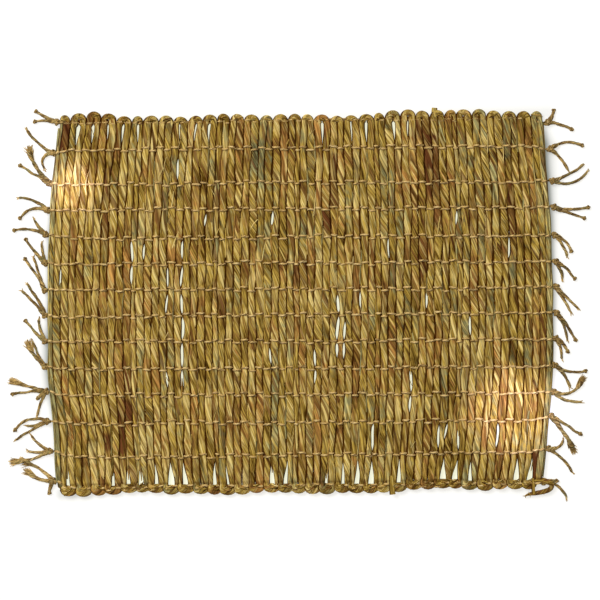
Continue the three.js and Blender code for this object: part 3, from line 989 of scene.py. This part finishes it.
def cord_lines():
    """The whole cord as one line with all its values, cut into CORD_PIECES lines."""
    rng = np.random.default_rng(SEED)
    route = cord_route()
    x, level, half_width, leg, lift = route.T
    along = lengths_along(route[:, :2])
    y = level - rise(x_to_across(x, level), level)
    bound = near_row(y, ROW_PINCH) * leg
    in_lower_turn = (y < 0) * (1 - leg)
    turning = np.where(y < 0, 1 - leg, np.clip(3 * (1 - leg), 0, 1))
    pitch = PITCH * 2 ** drift(rng, along, *PITCH_DRIFT) * lerp(1, TURN_PITCH, turning)
    height = CORD_HALF_HEIGHT * (1 + drift(rng, along, *HEIGHT_DRIFT))
    height = lerp(height, CORD_HALF_HEIGHT * BOUND_HEIGHT, bound)
    width = half_width * (1 + drift(rng, along, *WIDTH_DRIFT) * (1 - bound))
    middle = CORD_MIDDLE + drift(rng, along, *MIDDLE_DRIFT) * (1 - bound) + lift
    # The tone falls from left to right, as painted light from the left
    tone = sum(drift(rng, along, *values) for values in TONE_DRIFTS) + patches(route[:, :2]) - PAINTED_LIGHT_FALL * x
    # Painted shade: a dark line where the bottom loops pinch their runs, and patches on the loops
    turn_shade = TURN_SHADE * in_lower_turn * np.maximum(0, drift(rng, along, TURN_SHADE_STEP))
    shade = PINCH_SHADE * bell(y, LOWER_SEAM, PINCH_HALF_LENGTH) + turn_shade
    hue = sum(drift(rng, along, *values) for values in HUE_DRIFTS)
    # How strong the painted shade at a run's sides is, with painted dark spots beside the rows
    crowd = leg * (1 + drift(rng, along, *SIDE_SHADE_GAIN_DRIFT) + 0.14 * near_row(y, 2))

    # The outer runs are paler and greener, the bottom loops and the loose end darker and redder
    loose = ease(along, along[-1] - LOOSE_END, along[-1] - 0.8 * LOOSE_END)
    first_leg = 1 - ease(along, OUTER_LEG - LEG_BLEND, OUTER_LEG + LEG_BLEND)
    last_leg = ease(along[-1] - LOOSE_END - along, OUTER_LEG + LEG_BLEND, OUTER_LEG - LEG_BLEND)
    outer = np.maximum(first_leg, last_leg) * (1 - loose)
    tone = tone + (OUTER_TONE + OUTER_TONE_BELOW * (1 - ease(y, -60, -10))) * outer
    tone = tone - TURN_TONE * in_lower_turn - LOOSE_TONE * loose
    hue = lerp(lerp(hue - TURN_HUE * in_lower_turn, OUTER_HUE, 0.9 * outer), LOOSE_HUE, loose)
    values = {
        "points": np.column_stack([x, level, middle]), "half_width": width, "tone": tone, "hue": hue,
        "half_height": np.minimum(height, np.maximum(width * 1.1, 0.3)), "stain": stain_at(x, level),
        "twist": np.cumsum([0, *(math.tau * np.diff(along) / pitch[1:])]), "crowd": crowd, "shade": shade,
        "along": along,
    }
    cuts = [int(np.argmin(np.abs(along - along[-1] * part / CORD_PIECES))) for part in range(CORD_PIECES + 1)]
    return [
        line_of(**{key: value[first : last + 1] for key, value in values.items()})
        for first, last in zip(cuts, cuts[1:])
    ]


# Slivers of leaf


def top_slivers(rng):
    """Loose slivers on top of the cord."""
    for _ in range(SLIVERS):
        x, y = rng.uniform(*SLIVER_X), rng.uniform(*SLIVER_Y)
        length, heading, bend = rng.uniform(*SLIVER_LENGTH), rng.normal(0, 0.2), rng.normal(0, 0.16)
        share = np.linspace(0, 1, len(SLIVER_SHAPE))
        angle, step = heading + 2 * bend * share[1:], length * share[1]
        height = CORD_TOP + rng.uniform(*SLIVER_RISE) * np.sin(np.pi * np.clip(share * 1.3, 0, 1))
        x = x + np.cumsum([0, *(step * np.sin(angle))])
        y = y + np.cumsum([0, *(step * np.cos(angle))])
        width = rng.uniform(*SLIVER_WIDTH) * SLIVER_SHAPE
        tone, hue = rng.uniform(-0.35, 0.45), rng.uniform(-0.4, 0.4)
        along = length * share + rng.uniform(0, PATTERN_LENGTH)
        yield line_of(np.column_stack([x, y, height]), width, 0.3 * width, tone=tone, hue=hue, along=along)


def loose_leaves(rng):
    """The leaves that stick out of the mat."""
    for route, height, tone, hue in LOOSE_LEAVES:
        x, y, width = resampled(route, RING_STEP).T
        yield line_of(np.column_stack([x, y, 0 * x + height]), width, 0.35 * width, tone=tone, hue=hue)


def seam_strands(rng):
    """Strands of leaf in the seams between runs, and greyish strands that stand in for shade there as painted
    shade.
    """
    seams = [(GREY_WIDTH, *strand) for strand in GREY_SHADE_STRANDS]
    for _ in range(SEAM_STRANDS):
        line, middle, length = int(rng.integers(1, RUNS)), rng.uniform(*SEAM_Y), rng.uniform(*SEAM_LENGTH)
        hue, tone = rng.choice(SEAM_HUES), rng.uniform(-0.3, 0)
        seams.append((SEAM_WIDTH, line, middle + length / 2, middle - length / 2, hue, tone))
    for widest, line, top, bottom, hue, tone in seams:
        y = np.arange(bottom, top, RING_STEP)
        x = line_x(line, y) + drift(rng, y - bottom, 15, 0.5)
        width = widest * np.sin(np.pi * np.linspace(0.06, 0.94, len(y))) ** 0.5
        height = SEAM_HEIGHT + drift(rng, y - bottom, 12, 0.4)
        points = np.column_stack([x, y + rise(line / RUNS, y), height])
        along = y - bottom + rng.uniform(0, PATTERN_LENGTH)
        yield line_of(points, width, 0.6 * width, tone=tone, hue=hue, along=along)


def loop_wraps(rng):
    """Short leaves that lie over the loops."""
    share = np.linspace(-1, 1, 7)
    for run in range(RUNS - 1):
        at_top = run % 2 == 0
        for _ in range(LOOP_WRAPS[at_top]):
            y = turn_start(run, at_top) + AWAY[at_top] * (rng.uniform(1, TURN_DEPTH[at_top]) - 0.9 * share**2)
            x = line_x(run + 1, y) + rng.uniform(-2.2, 2.2) + rng.uniform(2.2, 4) * share
            y = y + rng.uniform(-1.6, 1.6) * share + rise((run + 1) / RUNS, y)
            points = np.column_stack([x, y, WRAP_HEIGHT - rng.uniform(1.2, 1.9) * share**2])
            width = rng.uniform(*WRAP_WIDTH) * (1 - 0.6 * share**4)
            along = 3 * (share + 1) + rng.uniform(0, PATTERN_LENGTH)
            tone, hue = rng.uniform(-0.45, 0.15), rng.uniform(-0.9, 0.3)
            yield line_of(points, width, 0.4, tone=tone, hue=hue, along=along)


def hook_hairs(rng):
    """Short hairs that stand off the cord's loose end."""
    for _ in range(HOOK_HAIRS):
        x, y, _width = FREE_END[int(rng.integers(1, len(FREE_END)))]
        heading = rng.uniform(0, math.tau)
        reach = rng.uniform(*HAIR_LENGTH) * np.linspace(0, 1, len(HAIR_SHAPE))
        height = 4 + rng.uniform(-1, 1.5) - 0.3 * reach
        points = [x + reach * math.cos(heading), y + 0.7 * reach * math.sin(heading), height]
        yield line_of(np.transpose(points), HAIR_SHAPE, 0.2, tone=rng.uniform(-0.4, 0.1), hue=-0.3)


def side_leaves(rng):
    """A green leaf along the outside of each outer run."""
    bottom, top, half_width, height = SIDE_LEAF
    for side, outwards in SIDES:
        y = np.arange(bottom, top, RING_STEP)
        along = y - y[0]
        x = line_x(side * RUNS, y) + outwards * (0.1 + drift(rng, along, 24, 0.5))
        width = half_width + drift(rng, along, 20, 0.4)
        points = np.column_stack([x, y + rise(side, y), height + drift(rng, along, 15, 0.5)])
        yield line_of(points, width, 0.7 * width, tone=-0.08, hue=1)


def sliver_lines():
    rng = np.random.default_rng(SEED + 1)
    kinds = (top_slivers, loose_leaves, seam_strands, loop_wraps, hook_hairs, side_leaves)
    return [line for kind in kinds for line in kind(rng)]


# The twine


def thread_line(row, side_knots, way):
    """One thread of a row, over one run and under the next. The other thread goes the other way, 1 or -1."""
    y = ROWS[row] - (FIRST_ROW_DROP if row == 0 else 0)
    rng = np.random.default_rng(SEED + 10 * row + (way == 1))
    left, right = np.array([run_sides(run, y) for run in range(RUNS)]).T
    centres = np.empty(2 * RUNS + 1)
    centres[::2] = (np.append(left, right[-1]) + np.append(left[0], right)) / 2
    centres[1::2] = (left + right) / 2
    across = np.linspace(0.1, RUNS - 0.1, RUNS * THREAD_STEPS)
    x = np.interp(across, np.arange(2 * RUNS + 1) / 2, centres)
    slow = drift(np.random.default_rng(SEED + row), x - x[0], 55, 0.8)
    apart = 0.35 if row == 0 else lerp(0.4, 0.9, ease(np.minimum(across, RUNS - across), 3, 14))
    wave = np.cos(np.pi * (across - 0.5)) * way
    lift = EDGE_LIFT.get(row, THREAD_LIFT) * (1 + drift(rng, x - x[0], 9, 0.13))
    z = np.maximum(CORD_MIDDLE + lift * np.sign(wave) * np.abs(wave) ** 0.6, THREAD_RADIUS)
    shift = THREAD_APART * apart * way + drift(rng, x - x[0], 11, 0.85) + slow
    height = y + shift + rise(across / RUNS, y)
    for knot, from_side in zip(side_knots, (across, RUNS - across)):
        outer = np.clip(1 - from_side / (KNOT_ENTRY * RUNS), 0, 1)
        height += outer**1.5 * (knot[1] + shift * 0.5 - height)
    start, end = ([*knot, KNOT_RADIUS] for knot in side_knots)
    points = np.vstack([start, np.column_stack([x, height, z]), end])
    along = lengths_along(points)
    # Dive: painted shade where a thread goes down between the runs
    dive = [0, *(1 - np.abs(wave) ** 0.5), 0]
    tone = drift(rng, along, 9, 0.16) + (-0.12 if row == 0 else 0.1)
    radius = THREAD_RADIUS * (1 + 0.7 * bell(np.minimum(along, along[-1] - along), 0, 5))
    points[:, 2] = np.maximum(points[:, 2], radius)
    return line_of(points, radius, twist=along / THREAD_PITCH, tone=tone, shade=0.75 * np.array(dive),
                   along=along + PATTERN_LENGTH * row)


def knot_line(place, rng, size, radius, middle):
    """A closed trefoil, tied from the thread."""
    t = np.linspace(0, math.tau, 42, endpoint=False)
    spin, lean = rng.uniform(0, math.tau), rng.uniform(-0.35, 0.35)
    y, z = turned(np.cos(t) - 2 * np.cos(2 * t), -1.5 * np.sin(3 * t), lean)
    x, y = turned(np.sin(t) + 2 * np.sin(2 * t), y, spin)
    points = np.column_stack([place[0] + x * size, place[1] + y * size, middle + z * size])
    return line_of(points, radius, twist=t * 5, tone=-0.3 + 0.14 * np.sin(t), hue=0.15, closed=True)


def tip_fibres(points, ahead, beside, frayed, rng):
    """The fibres at a tail's tip: a brush where it is frayed, or a few short ones."""
    share = np.linspace(0, 1, len(FIBRE_SHAPE))[:, None]
    for _ in range(FIBRES[frayed]):
        spread = rng.normal(0, FIBRE_SPREAD[frayed])
        reach = rng.uniform(*FIBRE_LENGTH[frayed])
        start = points[-int(rng.integers(4, 9)) if frayed else -2]
        heading = np.array(turned(*ahead[-1], spread))
        side = np.array([-heading[1], heading[0]]) * rng.normal(0, 0.12)
        bow = heading * share * reach + side * share**2 * reach
        height = lerp(start[2], rng.uniform(0.25, 1.6), share)
        offset = beside[-1] * rng.uniform(-1, 1) * FIBRE_OFFSET[frayed]
        path = np.column_stack([start[:2] + offset + bow, height])
        yield line_of(path, FIBRE_SHAPE, tone=rng.uniform(-0.4, 0.1), hue=rng.uniform(0, 0.5))


def tail_lines(knot, shape, outwards, rng):
    """A tail with the knot at its end, and the fibres of its tip."""
    length, leaves, ends, tip = (*shape, PLAIN_TIP)[:4]
    heading = np.radians(lerp(leaves, ends, (np.arange(TAIL_STEPS) + 0.5) / TAIL_STEPS))
    steps = length / TAIL_STEPS * np.column_stack([outwards * np.cos(heading), np.sin(heading)])
    flat = knot + np.vstack([[0, 0], np.cumsum(steps, axis=0)])
    along = lengths_along(flat)
    total = along[-1]
    ahead = np.gradient(flat, axis=0)
    ahead /= np.linalg.norm(ahead, axis=1)[:, None]
    beside = np.column_stack([-ahead[:, 1], ahead[:, 0]])
    flat = flat + beside * (drift(rng, along, 6, 0.5) * ease(along, 0, 6))[:, None]
    frayed, knotted = tip >= FRAYED_TIP, KNOTTED_TIP < tip < FRAYED_TIP
    radius = (TAIL_RADIUS + TIP_SHARE * max(0, tip - 3.6)) * (1 + drift(rng, along, 5, 0.14))
    radius = radius * (1 + 0.5 * (1 - ease(along, 2, 14)))
    if frayed:
        radius = radius * (1 + 0.5 * ease(along, total - 10, total - 2))
    z = lerp(KNOT_MIDDLE, radius, ease(along, 1, 9)) + np.abs(drift(rng, along, 7, 0.35)) * ease(along, 4, 9)
    points = np.column_stack([flat, z])
    tone, hue = drift(rng, along, 7, 0.14) - 0.34, drift(rng, along, 12, 0.2) + 0.42
    tapered = radius * (1 - 0.6 * ease(along, total - 1.5, total))
    place = along + 500 * knot[1]
    made = line_of(points, tapered, twist=along / TAIL_PITCH, tone=tone, hue=hue, along=place)
    if knotted:
        return [made, knot_line(flat[-3], rng, *TIP_KNOT)], []
    return [made], list(tip_fibres(points, ahead, beside, frayed, rng))


def pair_lines(row):
    """A row's two threads, its knots and its tails, and the fibres of their tips."""
    rng = np.random.default_rng(SEED + 100 + row)
    tails = [LEFT_SIDE[row], RIGHT_SIDE[row]]
    knots = [knot_place(side, ROWS[row], tails[side][0]) for side in (0, 1)]
    lines, fibres = [thread_line(row, knots, way) for way in (1, -1)], []
    for side, outwards in SIDES:
        lines.append(knot_line(knots[side], rng, *SIDE_KNOT))
        for shape in tails[side][1:]:
            made, brush = tail_lines(knots[side], shape, outwards, rng)
            lines += made
            fibres += brush
    return lines, fibres


# Settings


COLOR = {"min": 0, "max": 1, "subtype": "COLOR"}


class CordSettings(bpy.types.PropertyGroup):
    groove: FloatProperty(
        name="Groove", description="How deep the groove between the plies is, as a share of the radius",
        default=0.14, min=0, max=0.6, subtype="FACTOR")
    leaf_step: FloatProperty(
        name="Leaf step", description="How far a leaf's edge stands above the next, as a share of the radius",
        default=0.1, min=0, max=0.4, subtype="FACTOR")
    lump: FloatProperty(
        name="Lumps", description="How uneven the leaves are, as a share of the radius",
        default=0.13, min=0, max=0.5, subtype="FACTOR")
    dark: FloatVectorProperty(
        name="Dark leaf", description="The darkest dry leaf", default=(0.10, 0.045, 0.002), **COLOR)
    middle: FloatVectorProperty(
        name="Middle leaf", description="The usual dry leaf", default=(0.56, 0.37, 0.066), **COLOR)
    light: FloatVectorProperty(
        name="Light leaf", description="The palest dry leaf", default=(0.90, 0.70, 0.265), **COLOR)
    green: FloatVectorProperty(
        name="Green leaf", description="Leaf that dried green", default=(0.35, 0.315, 0.13), **COLOR)
    red: FloatVectorProperty(
        name="Red leaf", description="Leaf that dried red-brown", default=(0.45, 0.225, 0.055), **COLOR)
    stained: FloatVectorProperty(
        name="Stained leaf", description="Leaf that is stained dark", default=(0.16, 0.055, 0.016), **COLOR)


class TwineSettings(bpy.types.PropertyGroup):
    groove: FloatProperty(
        name="Groove", description="How deep the groove between the plies is, as a share of the radius",
        default=0.2, min=0, max=0.6, subtype="FACTOR")
    dark: FloatVectorProperty(
        name="Dark twine", description="The darkest twine", default=(0.14, 0.08, 0.025), **COLOR)
    middle: FloatVectorProperty(
        name="Middle twine", description="The usual twine", default=(0.82, 0.54, 0.18), **COLOR)
    light: FloatVectorProperty(
        name="Light twine", description="The palest twine", default=(0.95, 0.72, 0.34), **COLOR)
    green: FloatVectorProperty(
        name="Green twine", description="Twine with a green cast", default=(0.43, 0.37, 0.14), **COLOR)
    red: FloatVectorProperty(
        name="Red twine", description="Twine with a red-brown cast", default=(0.55, 0.33, 0.16), **COLOR)


class StageSettings(bpy.types.PropertyGroup):
    floor: FloatVectorProperty(
        name="Floor", description="The floor's colour", default=(0.36, 0.36, 0.36), **COLOR)
    height: FloatProperty(
        name="Camera height", description="The camera's height above the mat", default=2.5, min=0.5,
        unit="LENGTH")
    lens: FloatProperty(name="Lens", description="The focal length", default=175, min=20, unit="CAMERA")
    key: FloatProperty(
        name="Key light", description="The power of the soft light above the left side", default=120, min=0,
        unit="POWER")
    sky: FloatProperty(
        name="Sky", description="How bright the even light from all round is", default=0.4, min=0)


# Operators


def colors_of(settings):
    """The colours in a group of settings, for the inputs of the same names."""
    keys = ("dark", "middle", "light", "green", "red", "stained")
    return {key.capitalize(): (*getattr(settings, key), 1) for key in keys if hasattr(settings, key)}


class PLACEMAT_OT_cord(bpy.types.Operator):
    """Lay the twisted seagrass cord to and fro in its runs and loops"""

    bl_idname = "placemat.cord"
    bl_label = "Lay the seagrass cord"

    def execute(self, context):
        settings = context.scene.placemat_cord
        material = leaf_material("Seagrass", {**colors_of(settings), "Side shade": 0.97}, bump=0.3)
        cord = {
            "Leaves": 6, "Points in a leaf": 3, "Leaf overlap": 0.7, "Leaf step": settings.leaf_step,
            "Groove depth": settings.groove, "Groove shade": 0.9, "Squeeze": 1.5, "Level": 1.0,
            "Lump length": 0.018, "Lump height": settings.lump, "Material": material,
        }
        sliver = {"Leaves": 1, "Points in a leaf": 4, "Level": 1.0, "Material": material}
        for number, line in enumerate(cord_lines(), 1):
            piece(f"cord_{number}", twisted(f"cord_{number}", [line], cord), "seagrass", "seagrass_cord")
        piece("slivers", twisted("slivers", sliver_lines(), sliver), "seagrass", "seagrass_cord")
        return {"FINISHED"}


class PLACEMAT_OT_twine(bpy.types.Operator):
    """Weave the rows of twine through the runs, and tie their knots and tails at both sides"""

    bl_idname = "placemat.twine"
    bl_label = "Weave the twine"

    def execute(self, context):
        settings = context.scene.placemat_twine
        material = leaf_material("Twine", {
            **colors_of(settings), "Leaf width": 0.0009, "Leaf length": 0.008, "Leaf contrast": 0.4,
            "Fibre width": 0.0002, "Tuck shade": 0.3, "Edge shade": 0.25,
        }, bump=0.4)
        fibre = {"Leaves": 1, "Points in a leaf": 3, "Edge angle": TWINE_CREASE, "Material": material}
        twine = {
            **fibre, "Leaves": 2, "Points in a leaf": 4, "Groove depth": settings.groove,
            "Lump length": 0.004, "Lump height": 0.1,
        }
        for row in range(len(ROWS)):
            name = f"twine_{row + 1:02d}"
            lines, fibres = pair_lines(row)
            meshes = [twisted(name, lines, twine)]
            if fibres:
                meshes.append(twisted(name + "_fibres", fibres, fibre))
            piece(name, joined(name, meshes), "twine", f"twine_pair_{row + 1:02d}")
        return {"FINISHED"}


def placed_light(name, kind, power, at, **settings):
    light = bpy.data.lights.new(name, kind)
    light.energy = power
    for key, value in settings.items():
        setattr(light, key, value)
    return placed(name, light, at)


class PLACEMAT_OT_stage(bpy.types.Operator):
    """Put the mat on a pale floor under soft light, and look straight down at it"""

    bl_idname = "placemat.stage"
    bl_label = "Set the stage"

    def execute(self, context):
        settings = context.scene.placemat_stage
        floor = placed("floor", floor_mesh())
        floor.data.materials.append(floor_material(settings.floor))

        for name, x, y, across, power in GLINTS:
            placed_light(
                name, "SPOT", power, (x * MM, y * MM, GLINT_HEIGHT), color=GLINT_COLOR, spot_blend=1,
                spot_size=2 * math.atan(across / 2 / GLINT_HEIGHT), shadow_soft_size=GLINT_LAMP)
        key = placed_light("Key light", "AREA", settings.key, KEY_PLACE, shape="SQUARE", size=KEY_SIZE)
        key.rotation_euler = (-key.location).to_track_quat("-Z", "Y").to_euler()
        world = bpy.data.worlds.new("Studio")
        world.use_nodes = True
        fill(world.node_tree.nodes["Background"], {"Color": (1, 1, 1, 1), "Strength": settings.sky})
        context.scene.world = world

        lens = bpy.data.cameras.new("Camera")
        lens.lens = settings.lens
        place = (CAMERA_X * MM, CAMERA_Y * MM, settings.height + CORD_MIDDLE * MM)
        context.scene.camera = placed("Camera", lens, place)
        context.scene.view_settings.view_transform = "Standard"
        return {"FINISHED"}


class PLACEMAT_PT_panel(bpy.types.Panel):
    """The steps that make the placemat, and their settings"""

    bl_label = "Placemat"
    bl_idname = "PLACEMAT_PT_panel"
    bl_space_type = "VIEW_3D"
    bl_region_type = "UI"
    bl_category = "Placemat"

    def draw(self, context):
        for operator, key, _settings in STEPS:
            settings = getattr(context.scene, key)
            box = self.layout.box()
            for name in settings.__annotations__:
                box.prop(settings, name)
            box.operator(operator.bl_idname)


# Each step's operator, with the name and the kind of its settings
STEPS = (
    (PLACEMAT_OT_stage, "placemat_stage", StageSettings),
    (PLACEMAT_OT_cord, "placemat_cord", CordSettings),
    (PLACEMAT_OT_twine, "placemat_twine", TwineSettings),
)


def register():
    for operator, key, settings in STEPS:
        bpy.utils.register_class(settings)
        bpy.utils.register_class(operator)
        setattr(bpy.types.Scene, key, PointerProperty(type=settings))
    bpy.utils.register_class(PLACEMAT_PT_panel)


def unregister():
    bpy.utils.unregister_class(PLACEMAT_PT_panel)
    for operator, key, settings in reversed(STEPS):
        delattr(bpy.types.Scene, key)
        bpy.utils.unregister_class(operator)
        bpy.utils.unregister_class(settings)


def main():
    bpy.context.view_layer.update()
    register()
    bpy.ops.placemat.stage()
    bpy.ops.placemat.cord()
    bpy.ops.placemat.twine()


if __name__ == "__main__":
    main()
